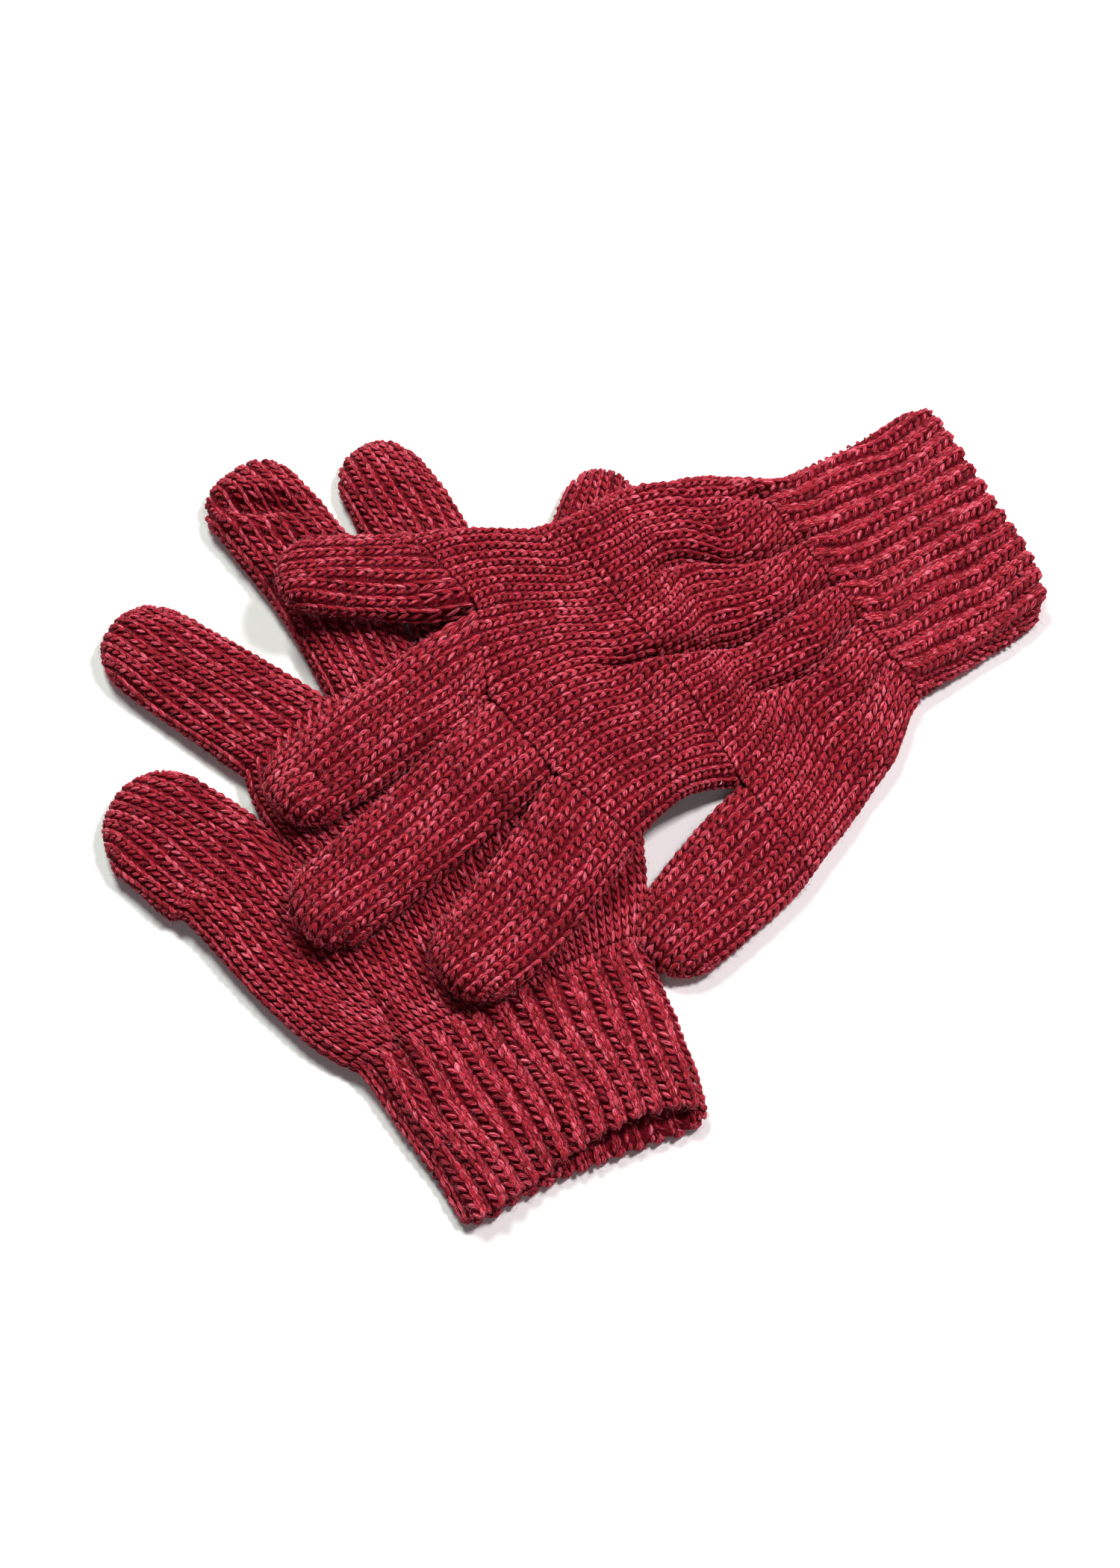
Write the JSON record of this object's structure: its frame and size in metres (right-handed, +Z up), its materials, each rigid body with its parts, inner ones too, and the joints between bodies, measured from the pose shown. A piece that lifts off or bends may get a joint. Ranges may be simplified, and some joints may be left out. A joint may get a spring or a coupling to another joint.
{
  "type": "knitted glove pair",
  "caption": "Pair of plain machine-knitted stretch gloves with ribbed cuffs, one laid crosswise over the other, fingers spread.",
  "frame": {"origin": "under the middle of the pair as it lies, on the surface it lies on", "axes": "+Z up from the surface, +X towards the upper glove's cuff, +Y away from the lower glove's cuff"},
  "size_m": [0.2561, 0.2262, 0.0234],
  "materials": {
    "plain_knit": "plain knit in heathered wool-mix yarn, brushed by wear",
    "rib_knit": "one-by-one rib in the same yarn",
    "darning_yarn": "closing stitches in the same yarn",
    "elastic_thread": "covered elastic thread inlaid behind the rib"
  },
  "bodies": {
    "lower_glove": {"bottom_cuff_hem": "rib_knit", "bottom_cuff_rib": "rib_knit", "bottom_cuff_elastic": "elastic_thread", "bottom_palm_heel": "plain_knit", "bottom_palm": "plain_knit", "bottom_fork_stitches": "darning_yarn", "bottom_thumb_base": "plain_knit", "bottom_index_base": "plain_knit", "bottom_middle_base": "plain_knit", "bottom_ring_base": "plain_knit", "bottom_little": "plain_knit"},
    "lower_thumb_end": {"bottom_thumb_end": "plain_knit"},
    "lower_index_end": {"bottom_index_end": "plain_knit"},
    "lower_middle_end": {"bottom_middle_end": "plain_knit"},
    "lower_ring_end": {"bottom_ring_end": "plain_knit"},
    "upper_glove": {"top_cuff_hem": "rib_knit", "top_cuff_rib": "rib_knit", "top_cuff_elastic": "elastic_thread", "top_palm_heel": "plain_knit", "top_palm": "plain_knit", "top_fork_stitches": "darning_yarn"},
    "upper_thumb": {"top_thumb": "plain_knit"},
    "upper_index": {"top_index": "plain_knit"},
    "upper_middle": {"top_middle": "plain_knit"},
    "upper_ring": {"top_ring": "plain_knit"},
    "upper_little": {"top_little": "plain_knit"}
  },
  "joints": [
    {"name": "upper_glove_lift", "type": "slide", "parent": "lower_glove", "child": "upper_glove", "axis": [0, 0, 1], "range_m": [0, 0.12]},
    {"name": "lower_thumb_fold", "type": "hinge", "parent": "lower_glove", "child": "lower_thumb_end", "pos_m": [-0.10155, -0.01675, 0.0095], "axis": [0.5592, 0.829, 0], "range_deg": [0, 45]},
    {"name": "lower_index_fold", "type": "hinge", "parent": "lower_glove", "child": "lower_index_end", "pos_m": [-0.09852, 0.03376, 0.0095], "axis": [0.5299, 0.848, 0], "range_deg": [0, 45]},
    {"name": "lower_middle_fold", "type": "hinge", "parent": "lower_glove", "child": "lower_middle_end", "pos_m": [-0.07375, 0.07199, 0.0095], "axis": [0.866, 0.5, 0], "range_deg": [0, 45]},
    {"name": "lower_ring_fold", "type": "hinge", "parent": "lower_glove", "child": "lower_ring_end", "pos_m": [-0.05017, 0.08752, 0.0095], "axis": [0.8829, 0.4695, 0], "range_deg": [0, 45]},
    {"name": "upper_thumb_fold", "type": "hinge", "parent": "upper_glove", "child": "upper_thumb", "pos_m": [0.0509, -0.00889, 0.0095], "axis": [-0.5592, 0.829, 0], "range_deg": [0, 45]},
    {"name": "upper_index_fold", "type": "hinge", "parent": "upper_glove", "child": "upper_index", "pos_m": [0.00375, -0.00873, 0.0194], "axis": [-0.5592, 0.829, 0], "range_deg": [0, 60]},
    {"name": "upper_middle_fold", "type": "hinge", "parent": "upper_glove", "child": "upper_middle", "pos_m": [-0.01194, 0.01451, 0.0194], "axis": [-0.5592, 0.829, 0], "range_deg": [0, 60]},
    {"name": "upper_ring_fold", "type": "hinge", "parent": "upper_glove", "child": "upper_ring", "pos_m": [-0.02678, 0.03651, 0.0194], "axis": [-0.5592, 0.829, 0], "range_deg": [0, 60]},
    {"name": "upper_little_fold", "type": "hinge", "parent": "upper_glove", "child": "upper_little", "pos_m": [-0.04085, 0.05746, 0.0194], "axis": [-0.5592, 0.829, 0], "range_deg": [0, 60]}
  ]
}
